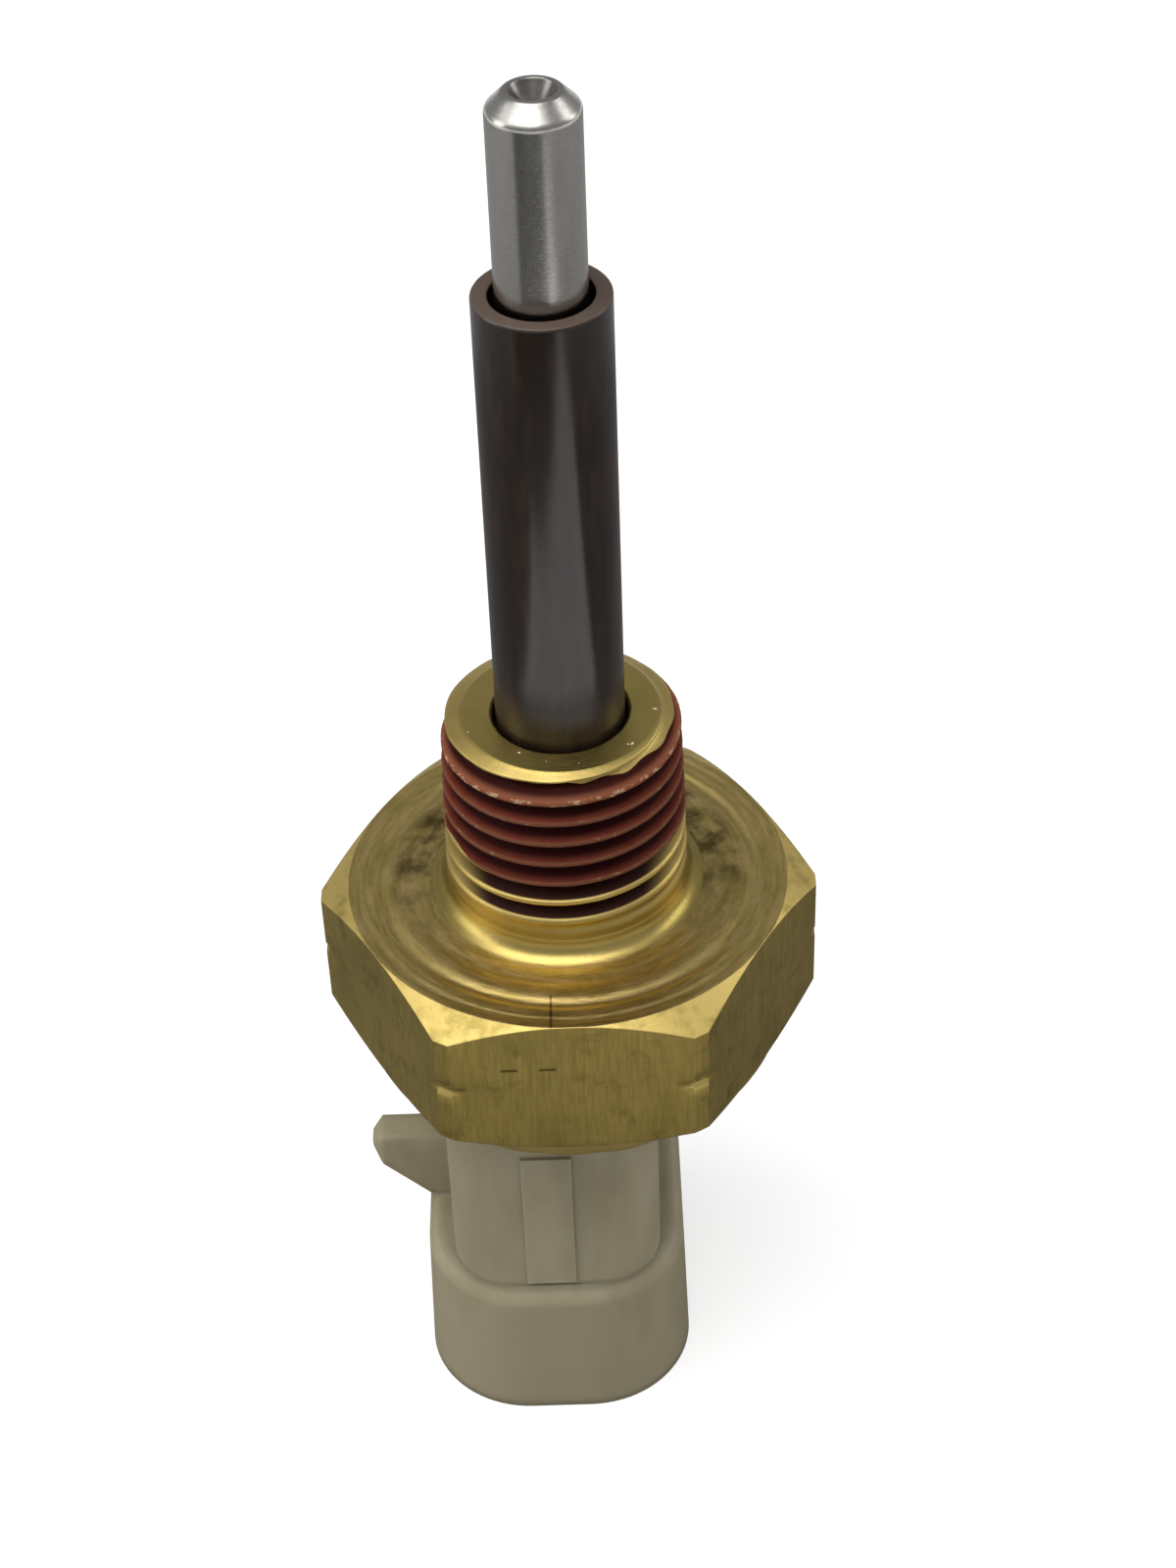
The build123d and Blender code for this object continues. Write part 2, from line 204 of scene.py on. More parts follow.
class Palette:
    """The node tree of one material and the few ways in which nodes are added to it."""

    def __init__(self, name: str) -> None:
        """Starts an empty material.

        Args:
            name: the material's name.
        """
        self.material = bpy.data.materials.new(name)
        self.material.use_nodes = True
        self.tree = self.material.node_tree
        self.tree.nodes.clear()

    def node(
        self,
        kind: str,
        settings: dict[str, object] | None = None,
        inputs: dict[str | int, object] | None = None,
    ) -> bpy.types.Node:
        """Adds any node.

        Args:
            kind: Blender's name of the node type.
            settings: the node's own settings, set first.
            inputs: values or wires for its sockets, by name or number.

        Returns:
            The node.
        """
        node = self.tree.nodes.new(kind)
        for key, value in (settings or {}).items():
            setattr(node, key, value)
        for key, value in (inputs or {}).items():
            if isinstance(value, Wire):
                self.tree.links.new(value.socket, node.inputs[key])
            elif isinstance(value, tuple) and len(value) == 3 and node.inputs[key].type == "RGBA":
                node.inputs[key].default_value = (*value, 1.0)
            else:
                node.inputs[key].default_value = value
        return node

    def wire(self, node: bpy.types.Node, output: str | int = 0) -> Wire:
        """One output of a node."""
        return Wire(self.tree, node.outputs[output])

    def place(self) -> Wire:
        """Position on the part in millimetres."""
        coordinates = self.wire(self.node("ShaderNodeTexCoord"), "Object")
        scaled = self.node(
            "ShaderNodeVectorMath", {"operation": "SCALE"}, {0: coordinates, "Scale": 1 / MM}
        )
        return self.wire(scaled)

    def facing(self) -> tuple[Wire, Wire, Wire]:
        """The surface's own normal, as three values."""
        return self.split(self.wire(self.node("ShaderNodeTexCoord"), "Normal"))

    def split(self, vector: Wire) -> tuple[Wire, Wire, Wire]:
        """X, Y and Z of a vector."""
        parts = self.node("ShaderNodeSeparateXYZ", inputs={0: vector})
        return self.wire(parts, 0), self.wire(parts, 1), self.wire(parts, 2)

    def axis_distance(self, x: Wire, y: Wire) -> Wire:
        """Distance from the probe axis."""
        return (x * x + y * y).root()

    def join(self, x: Operand, y: Operand, z: Operand) -> Wire:
        """A vector from three values."""
        return self.wire(self.node("ShaderNodeCombineXYZ", inputs={0: x, 1: y, 2: z}))

    def noise(self, at: Wire, scale: float, detail: float = 4.0, rough: float = 0.55) -> Wire:
        """Soft random value from 0 to 1.

        Args:
            at: where it is read.
            scale: bumps per unit of the position.
            detail: how many finer layers lie on it.
            rough: how strong the finer layers are.

        Returns:
            The value.
        """
        node = self.node(
            "ShaderNodeTexNoise",
            {"noise_dimensions": "3D"},
            {"Vector": at, "Scale": scale, "Detail": detail, "Roughness": rough},
        )
        return self.wire(node, 0)

    def mix(self, amount: Operand, under: Tint, over: Tint) -> Wire:
        """One colour over another.

        Args:
            amount: how much of the upper colour shows.
            under: the lower colour.
            over: the upper colour.

        Returns:
            The mixed colour.
        """
        choice = {0: amount, 6: under, 7: over}
        return self.wire(self.node("ShaderNodeMix", {"data_type": "RGBA"}, choice), 2)

    def layers(self, base: Tint, *coats: tuple[Operand, Tint]) -> Wire:
        """A colour with others over it, each after the share of it that shows."""
        for amount, tint in coats:
            base = self.mix(amount, base, tint)
        return base

    def bump(
        self,
        height: Wire,
        strength: float,
        distance_mm: float,
        edge_mm: float = 0.0,
        front: Wire | None = None,
    ) -> Wire:
        """Normal disturbed by a height.

        Args:
            height: the height from 0 to 1.
            strength: how strongly it shows.
            distance_mm: what a height of one stands for.
            edge_mm: radius with which edges look rounded.
            front: one where the surface is shaded almost as if it faced the front.

        Returns:
            The normal.
        """
        inputs = {"Strength": strength, "Distance": distance_mm * MM, "Height": height}
        if edge_mm:
            edge = self.wire(
                self.node("ShaderNodeBevel", {"samples": 8}, {"Radius": edge_mm * MM})
            )
            if front is not None:
                true = self.wire(self.node("ShaderNodeNewGeometry"), "Normal")
                turned = self.blend(0.75, true, (0.0, -1.0, 0.0))
                edge = self.blend(front, edge, turned)
            inputs["Normal"] = edge
        return self.wire(self.node("ShaderNodeBump", inputs=inputs))

    def blend(self, amount: Operand, under: Wire, over: Wire | Colour) -> Wire:
        """A vector between two others."""
        choice = {0: amount, 4: under, 5: over}
        return self.wire(self.node("ShaderNodeMix", {"data_type": "VECTOR"}, choice), 1)

    def surface(self, **sockets: object) -> bpy.types.Material:
        """Ends the material in a Principled shader.

        Args:
            sockets: values or wires by the socket's name, with underscores for spaces.

        Returns:
            The finished material.
        """
        named = {key.replace("_", " "): value for key, value in sockets.items()}
        shader = self.node("ShaderNodeBsdfPrincipled", inputs=named)
        output = self.node("ShaderNodeOutputMaterial")
        self.tree.links.new(shader.outputs[0], output.inputs[0])
        return self.material


@dataclass(frozen=True)
class Finish:
    """A finish of the part; each kind knows the slot of the record that it dresses."""

    slot: Slot

    def material(self) -> bpy.types.Material:
        """Builds the material."""
        raise NotImplementedError


@dataclass(frozen=True)
class TurnedBrass(Finish):
    """Turned brass: tool rings, tarnished flats, open thread grooves in a nearly black red that is
    partly sealant traces and partly painted shade.
    """

    slot: Slot = Slot.BRASS
    clean: Colour = (0.76, 0.575, 0.19)
    dull: Colour = (0.52, 0.385, 0.11)
    olive: Colour = (0.30, 0.23, 0.055)
    pink: Colour = (0.68, 0.48, 0.23)
    brown: Colour = (0.33, 0.235, 0.075)
    oxide: Colour = (0.075, 0.048, 0.012)
    wine: Colour = (0.034, 0.008, 0.004)
    glint: Colour = (0.95, 0.82, 0.58)
    top_z: float = HEX_TOP
    face_z: float = END_FACE
    flat_radius: float = FLAT_RADIUS
    crest_radius: float = END_RADIUS
    bore_radius: float = 3.83
    taper: float = TAPER
    bevel_z: float = 47.7
    stain_and_shade_half_width: float = 4.2
    neck_foot_dark_radius: float = 8.8
    scratch_x: float = -1.05
    dash_x: tuple[float, float] = (-3.5, -1.35)
    dash_z: float = 33.0

    def material(self) -> bpy.types.Material:
        """Lathe rings on turned faces, drawn grain and stains on the flats."""
        paint = Palette(self.slot.value)
        place = paint.place()
        x, y, z = paint.split(place)
        _, _, up = paint.facing()
        radius = paint.axis_distance(x, y)
        lathe = paint.join(radius + z * 0.9, x / radius * 1.6, y / radius * 1.6)
        rings = paint.noise(lathe, 2.7, 5.0, 0.72)
        fine_rings = paint.noise(lathe, 13.0, 3.0, 0.6)
        clouds = paint.noise(place, 0.16, 4.0, 0.6)
        stains = paint.noise(place, 0.55, 5.0, 0.62)
        specks = paint.noise(place, 3.1, 4.0, 0.6)

        upright = abs(up).between(0.35, 0.2)
        hexagon = radius.between(self.flat_radius - 0.3, self.flat_radius - 0.1)
        flats = upright * hexagon
        top = up.between(0.93, 0.98) * z.band(self.top_z, 0.3, 0.15)
        end = z.between(self.face_z - 0.12, self.face_z - 0.04)
        shank = z.between(self.top_z + 0.9, self.top_z + 1.6) * (1.0 - end)
        sunk = (self.face_z - z) * self.taper + self.crest_radius - radius
        # the open thread grooves: partly red sealant traces, partly painted shade, strongest in
        # the middle of the front and back
        groove = sunk.between(0.09, 0.2) * shank * z.between(self.bevel_z, self.bevel_z - 0.3)
        stain_and_shade_weight = abs(x).between(self.stain_and_shade_half_width + 2.1, self.stain_and_shade_half_width)
        groove = groove * (0.3 + 0.7 * stain_and_shade_weight)
        # the bore wall below its mouth is painted dark
        bore = radius.between(self.bore_radius + 0.12, self.bore_radius)
        bore = bore * z.between(self.face_z - 0.5, self.face_z - 0.8)

        chamfer = hexagon * up.between(0.5, 0.7) * up.between(0.95, 0.9)
        grain = paint.noise(paint.join(x * 4.0, y * 4.0, z * 0.3), 1.6, 4.0, 0.6)
        # painted highlight: tiny specks on the end face take the near-white glint colour and less
        # metal, standing in for sparkles of light
        glint_specks = paint.noise(place, 2.3, 1.0, 0.4).between(0.77, 0.785)
        # darker patches in a ring round the foot of the neck on the top face, much stronger behind
        # the neck than in front
        neck_foot_dark = radius.band(self.neck_foot_dark_radius, 0.7, 1.2) * stains.between(0.36, 0.66) * top
        behind = y.between(-6.0, 3.0)
        # painted shade: the neck and the inner part of the fillet turn olive, more so at the
        # sides, which narrows the fillet's highlight
        neck = z.between(self.top_z + 2.2, self.top_z + 1.5) * radius.between(8.2, 7.6)
        marks = x.band(self.scratch_x, 0.05, 0.04) * y.between(-9.9, -10.3) * top
        front = y.between(-self.flat_radius + 0.2, -self.flat_radius + 0.1)
        dash_height = z.band(self.dash_z, 0.06, 0.08) * front
        for dash in self.dash_x:
            marks = marks.most(x.band(dash, 0.42, 0.12) * dash_height)

        ring_tint = paint.layers(
            self.olive,
            (rings.between(0.36, 0.64), self.pink),
            (fine_rings.between(0.4, 0.65) * 0.6, self.dull),
            (stains.between(0.55, 0.8) * 0.5, self.olive),
        )
        flat_tint = paint.layers(
            self.dull,
            (grain.between(0.3, 0.7) * 0.75, self.olive),
            (clouds.between(0.42, 0.7) * 0.55, self.olive),
        )
        colour = paint.layers(
            self.clean,
            (clouds.between(0.4, 0.75) * 0.5, self.dull),
            (top * 0.66, ring_tint),
            (flats * 0.85, flat_tint),
            (chamfer * stains.between(0.45, 0.7) * 0.6, self.olive),
            (end * (0.3 + 0.3 * stains), self.olive),
            (end * glint_specks, self.glint),
            (shank * (0.2 + 0.4 * stains), self.brown),
            (groove, self.wine),
            (bore * 0.8, self.oxide),
            # painted shade on the neck and inner fillet
            (neck * (0.35 + 0.35 * abs(x).between(3.5, 7.0)), self.olive),
            (neck_foot_dark * (0.12 + 0.76 * behind), self.oxide),
            (specks.between(0.68, 0.8) * flats * 0.4, self.oxide),
            (stains.between(0.52, 0.7) * flats * 0.35, self.oxide),
            (marks * 0.75, self.oxide),
        )

        rough = 0.24 + 0.14 * rings + (flats + chamfer) * 0.14 + shank * 0.1 + stains * 0.08
        turned = rings * 0.65 + fine_rings * 0.35
        drawn = grain * 0.6 + stains * 0.4
        height = turned + flats * (drawn - turned)
        return paint.surface(
            Base_Color=colour,
            Metallic=1.0 - groove - end * glint_specks * 0.9,
            Roughness=rough + groove * 0.2,
            Specular_IOR_Level=0.15,
            Normal=paint.bump(height, 0.45, 0.07, edge_mm=0.12),
        )


@dataclass(frozen=True)
class ThreadSealant(Finish):
    """Dried red sealant, rubbed to the brass in places, with painted shade making it nearly black
    in the grooves, where the film is thick.
    """

    slot: Slot = Slot.SEALANT
    crest: Colour = (0.15, 0.022, 0.010)
    groove: Colour = (0.034, 0.0035, 0.0025)
    dust: Colour = (0.27, 0.09, 0.045)
    tan: Colour = (0.20, 0.085, 0.045)
    rubbed: Colour = (0.55, 0.38, 0.22)
    face_z: float = END_FACE
    coat_radius: float = 6.69
    taper: float = TAPER
    first_crest: tuple[float, float] = (46.2, 47.0)
    last_crest: float = 42.5

    def material(self) -> bpy.types.Material:
        """Grainy satin film, painted darker with its depth under the crests as shade in the
        grooves.
        """
        paint = Palette(self.slot.value)
        place = paint.place()
        x, y, z = paint.split(place)
        radius = paint.axis_distance(x, y)
        sunk = (self.face_z - z) * self.taper + self.coat_radius - radius
        grains = paint.noise(place, 5.5, 4.0, 0.6)
        patches = paint.noise(place, 0.9, 4.0, 0.6)
        flakes = paint.noise(paint.join(x, y, z * 2.0), 1.6, 4.0, 0.65)
        first = z.between(*self.first_crest)
        on_crest = sunk.between(0.16, 0.05)
        chipped = flakes.between(0.52, 0.58) * first + flakes.between(0.6, 0.66) * 0.3
        colour = paint.layers(
            self.crest,
            ((patches.between(0.3, 0.7) * 0.25).most(first * 0.9), self.dust),
            # the film darker towards the bottom of the thread
            (z.between(self.first_crest[0], self.last_crest) * 0.25, self.groove),
            # painted shade: the film turns nearly black with its depth in the grooves
            (sunk.between(0.1, 0.55), self.groove),
            (on_crest * (1.0 - first) * 0.65, self.tan),
            (on_crest * chipped.least(1.0) * 0.8, self.rubbed),
        )
        return paint.surface(
            Base_Color=colour,
            Specular_IOR_Level=0.1,
            Roughness=0.55 + 0.2 * grains,
            Normal=paint.bump(grains, 0.4, 0.05),
        )


@dataclass(frozen=True)
class GroundSteel(Finish):
    """Centreless-ground steel with fine lines round the axis."""

    slot: Slot = Slot.STEEL
    bright: Colour = (0.56, 0.54, 0.50)
    dark: Colour = (0.36, 0.345, 0.32)
    shadow: Colour = (0.10, 0.09, 0.08)
    tip_z: float = TIP
    hole_radius: float = TIP_HOLE_RADIUS
    hole_z: float = 83.5

    def material(self) -> bpy.types.Material:
        """Fine lines round the axis, a few long soft streaks."""
        paint = Palette(self.slot.value)
        x, y, z = paint.split(paint.place())
        radius = paint.axis_distance(x, y)
        turn = y.angle_of(x)
        lines = paint.noise(paint.join(radius, z, turn * 0.3), 22.0, 3.0, 0.65)
        streaks = paint.noise(paint.join(x, y, z * 0.15), 1.6, 3.0, 0.5)
        hole = radius.between(self.hole_radius + 0.1, self.hole_radius - 0.1)
        colour = paint.layers(
            self.bright,
            (lines.between(0.3, 0.75) * 0.6, self.dark),
            (streaks.between(0.5, 0.8) * 0.35, self.dark),
            # painted reflection: the tip's end face is darkened for the dark surroundings it
            # mirrors; painted shade in the centre hole
            (z.between(self.tip_z - 0.3, self.tip_z - 0.1) * 0.6, self.dark),
            (hole * z.between(self.hole_z - 0.5, self.hole_z) * 0.6, self.shadow),
        )
        tip = z.between(self.tip_z - 1.0, self.tip_z - 0.8)
        return paint.surface(
            Base_Color=colour,
            Metallic=1.0,
            Roughness=0.15 + 0.07 * lines + 0.12 * tip,
            Normal=paint.bump(lines, 0.25, 0.02),
        )


@dataclass(frozen=True)
class ResinSleeve(Finish):
    """Dark brown resin tube with a semi-gloss skin and a lighter sawn end."""

    slot: Slot = Slot.SLEEVE
    skin: Colour = (0.016, 0.009, 0.005)
    warm: Colour = (0.032, 0.018, 0.010)
    sawn: Colour = (0.10, 0.065, 0.046)
    foot_z: float = 50.0

    def material(self) -> bpy.types.Material:
        """Mottled skin along the tube, matt end."""
        paint = Palette(self.slot.value)
        x, y, z = paint.split(paint.place())
        _, _, up = paint.facing()
        along = paint.join(x, y, z * 0.18)
        mottle = paint.noise(along, 1.3, 4.0, 0.6)
        fibres = paint.noise(along, 9.0, 3.0, 0.6)
        end = up.between(0.4, 0.8)
        colour = paint.layers(self.skin, (mottle.between(0.4, 0.7), self.warm), (end, self.sawn))
        foot = z.between(self.foot_z + 3.0, self.foot_z)
        return paint.surface(
            Base_Color=colour,
            Specular_IOR_Level=0.6,
            Roughness=0.11 + 0.06 * fibres + end * 0.4 + foot * 0.22,
            Normal=paint.bump(fibres, 0.08, 0.02),
        )


@dataclass(frozen=True)
class NaturalNylon(Finish):
    """Natural nylon: milky, a little translucent, satin."""

    slot: Slot = Slot.NYLON
    milk: Colour = (0.44, 0.385, 0.25)
    shade: Colour = (0.35, 0.30, 0.185)
    ledge_painted_shade: Colour = (0.20, 0.17, 0.10)
    ledge_z: float = 10.3
    pad_x: float = -1.9
    pad_half_width: float = 2.2
    pad_y: float = -8.7
    edge_mm: float = 1.0

    def material(self) -> bpy.types.Material:
        """Milky body with faint flow marks."""
        paint = Palette(self.slot.value)
        place = paint.place()
        x, y, z = paint.split(place)
        flow = paint.noise(paint.join(x, y, z * 0.4), 0.22, 4.0, 0.55)
        grain = paint.noise(place, 7.0, 3.0, 0.6)
        # painted shade: the skirt below the ledge is darkened with the shade colour, as it gets
        # less light than the body above
        skirt_painted_shade = z.between(self.ledge_z, self.ledge_z - 1.5)
        colour = paint.layers(
            self.milk,
            (flow.between(0.35, 0.7).most(skirt_painted_shade * 0.6), self.shade),
            # painted shade: a dark band along the ledge, in the corner where the core stands on
            # the skirt
            (z.band(self.ledge_z, 0.12, 0.3) * 0.4, self.ledge_painted_shade),
        )
        pad = x.band(self.pad_x, self.pad_half_width, 0.4)
        pad = pad * y.between(self.pad_y + 0.3, self.pad_y)
        pad = pad * z.between(self.ledge_z + 0.1, self.ledge_z + 0.25)
        relief = grain * 0.4 + flow * 0.6
        return paint.surface(
            Base_Color=colour,
            Roughness=0.38 + 0.14 * grain,
            Subsurface_Weight=0.35,
            Subsurface_Radius=(1.0, 0.85, 0.6),
            Subsurface_Scale=1.2 * MM,
            Normal=paint.bump(relief, 0.16, 0.05, edge_mm=self.edge_mm, front=pad),
        )


@dataclass(frozen=True)
class PlainGrain(Finish):
    """A simple material with grain: the pieces inside and the blades."""

    base: Colour = (0.5, 0.5, 0.5)
    shade: Colour = (0.4, 0.4, 0.4)
    metallic: float = 0.0
    rough: float = 0.5
    grain_per_mm: float = 3.0

    def material(self) -> bpy.types.Material:
        """Two tones of one colour with a fine bump."""
        paint = Palette(self.slot.value)
        place = paint.place()
        grain = paint.noise(place, self.grain_per_mm, 4.0, 0.6)
        cloud = paint.noise(place, self.grain_per_mm * 0.2, 3.0, 0.5)
        colour = paint.mix(cloud.between(0.3, 0.7), self.base, self.shade)
        return paint.surface(
            Base_Color=colour,
            Metallic=self.metallic,
            Roughness=self.rough + 0.12 * grain,
            Normal=paint.bump(grain, 0.2, 0.03),
        )


INNER_FINISHES: tuple[PlainGrain, ...] = (
    PlainGrain(Slot.RUBBER, (0.022, 0.022, 0.023), (0.035, 0.034, 0.033), 0.0, 0.55),
    PlainGrain(Slot.WASHER, (0.30, 0.17, 0.09), (0.22, 0.12, 0.06), 0.0, 0.6, 2.0),
    PlainGrain(Slot.CERAMIC, (0.12, 0.125, 0.12), (0.08, 0.085, 0.08), 0.0, 0.6),
    PlainGrain(Slot.FILLING, (0.62, 0.62, 0.60), (0.52, 0.52, 0.50), 0.0, 0.65),
    PlainGrain(Slot.COPPER, (0.70, 0.69, 0.66), (0.58, 0.56, 0.52), 1.0, 0.25, 5.0),
    PlainGrain(Slot.SLEEVING, (0.62, 0.58, 0.46), (0.52, 0.48, 0.37), 0.0, 0.7, 6.0),
    PlainGrain(Slot.TERMINAL, (0.66, 0.64, 0.58), (0.52, 0.50, 0.45), 1.0, 0.28, 4.0),
    PlainGrain(Slot.RESIN, (0.02, 0.02, 0.022), (0.03, 0.03, 0.032), 0.0, 0.22, 1.5),
)


@dataclass
class Skin:
    """Closed mesh made of rings of points, each ring joined to the next."""

    name: str
    rings: list[np.ndarray] = field(default_factory=list)
    creased: set[int] = field(default_factory=set)

    def ring(self, points: np.ndarray, crease: bool = False) -> None:
        """Adds one ring of points.

        Args:
            points: the ring, as many rows as columns of the skin.
            crease: leaves a sharp edge along the ring.
        """
        if crease:
            self.creased.add(len(self.rings))
        self.rings.append(points)

    def build(
        self, sharp_columns: Sequence[int] = (), upright_rows: range = range(0)
    ) -> bpy.types.Object:
        """Makes the object, with the last ring joined to the first.

        Args:
            sharp_columns: columns whose edges stay sharp.
            upright_rows: the rings between which they do.

        Returns:
            The new object, in metres.
        """
        rows, columns = len(self.rings), len(self.rings[0])
        points = np.concatenate(self.rings) * MM
        row, column = np.meshgrid(np.arange(rows), np.arange(columns), indexing="ij")
        after = (row + 1) % rows
        beside = (column + 1) % columns
        quads = np.stack(
            [
                row * columns + column,
                row * columns + beside,
                after * columns + beside,
                after * columns + column,
            ],
            axis=-1,
        ).reshape(-1, 4)
        if self._inside_out(points[quads]):
            quads = quads[:, ::-1]
        mesh = new_mesh(self.name, points.tolist(), quads.tolist())
        mesh.polygons.foreach_set("use_smooth", [True] * len(mesh.polygons))
        self._sharpen(mesh, columns, set(sharp_columns), upright_rows)
        mesh.validate()
        return new_object(self.name, mesh)

    @staticmethod
    def _inside_out(corners: np.ndarray) -> bool:
        """Whether closed quads, each given by its four corners, face inward."""
        first, second, third, fourth = np.moveaxis(corners, 1, 0)
        across = np.cross(second, third) + np.cross(third, fourth)
        return float((first * across).sum()) < 0

    def _sharpen(
        self, mesh: bpy.types.Mesh, columns: int, sharp: set[int], upright_rows: range
    ) -> None:
        """Marks the sharp edges of the mesh."""
        pairs = np.empty(len(mesh.edges) * 2, dtype=np.int64)
        mesh.edges.foreach_get("vertices", pairs)
        pairs = pairs.reshape(-1, 2)
        row = pairs // columns
        column = pairs % columns
        along = (row[:, 0] == row[:, 1]) & np.isin(row[:, 0], list(self.creased))
        upright = (
            (row[:, 0] != row[:, 1])
            & np.isin(column[:, 0], list(sharp))
            & np.isin(row[:, 0], list(upright_rows))
            & np.isin(row[:, 1], list(upright_rows))
        )
        mesh.edges.foreach_set("use_edge_sharp", (along | upright).tolist())


@dataclass(frozen=True)
class Profile:
    """Half section of a turned piece: radius and height of each corner, with edge roundings.

    A guard ring on both sides of each rounding keeps the faces beside it plainly shaded.
    """

    corners: tuple[tuple[float, float, float], ...]
    arc_steps: int = 4
    guard: float = 0.03

    def points(self) -> list[tuple[float, float, bool]]:
        """Corners with their roundings worked out.

        Returns:
            Radius, height and whether the point is a sharp corner.
        """
        found: list[tuple[float, float, bool]] = []
        count = len(self.corners)
        for index, (r, z, rounding) in enumerate(self.corners):
            if rounding <= 0:
                found.append((r, z, True))
                continue
            here = Vector((r, z))
            before = (Vector(self.corners[index - 1][:2]) - here).normalized()
            after = (Vector(self.corners[(index + 1) % count][:2]) - here).normalized()
            half = before.angle(after) / 2
            reach = rounding / math.tan(half)
            centre = here + (before + after).normalized() * (rounding / math.sin(half))
            start = here + before * reach - centre
            end = here + after * reach - centre
            sweep = start.angle_signed(end)
            lead_in = here + before * (reach + self.guard)
            found.append((lead_in.x, lead_in.y, False))
            for step in range(self.arc_steps + 1):
                spoke = start.copy()
                spoke.rotate(Matrix.Rotation(-sweep * step / self.arc_steps, 2))
                found.append((centre.x + spoke.x, centre.y + spoke.y, False))
            lead_out = here + after * (reach + self.guard)
            found.append((lead_out.x, lead_out.y, False))
        return found


def circle(radius: Measure, height: Measure, turns: np.ndarray) -> np.ndarray:
    """Ring of points round the axis.

    Args:
        radius: one radius, or one for each angle.
        height: one height, or one for each angle.
        turns: the angles in radians.

    Returns:
        The points, one row each.
    """
    tall = np.broadcast_to(np.asarray(height, float), turns.shape)
    return np.stack([radius * np.cos(turns), radius * np.sin(turns), tall], axis=1)


def lathe(name: str, profile: Profile, segments: int = 160) -> bpy.types.Object:
    """Turned piece from a closed half section that doesn't touch the axis.

    Args:
        name: the piece's name.
        profile: its half section.
        segments: steps round the axis.

    Returns:
        The object.
    """
    turns = np.linspace(0, 2 * math.pi, segments, endpoint=False)
    skin = Skin(name)
    for radius, height, sharp in profile.points():
        skin.ring(circle(radius, height, turns), crease=sharp)
    return skin.build()


def ripple(at: np.ndarray, seed: int, waves: int, low: int, high: int) -> np.ndarray:
    """Smooth random curve made of sine waves.

    Args:
        at: where it is read.
        seed: makes it repeatable.
        waves: how many waves are added.
        low: the lowest number of waves in a turn.
        high: the highest number of waves in a turn.

    Returns:
        Values of about minus one to one.
    """
    dice = np.random.default_rng(seed)
    total = np.zeros_like(at)
    for _ in range(waves):
        frequency = int(dice.integers(low, high + 1))
        total += np.sin(frequency * at + dice.uniform(0, 2 * math.pi)) * dice.uniform(0.5, 1.0)
    return total / math.sqrt(waves)


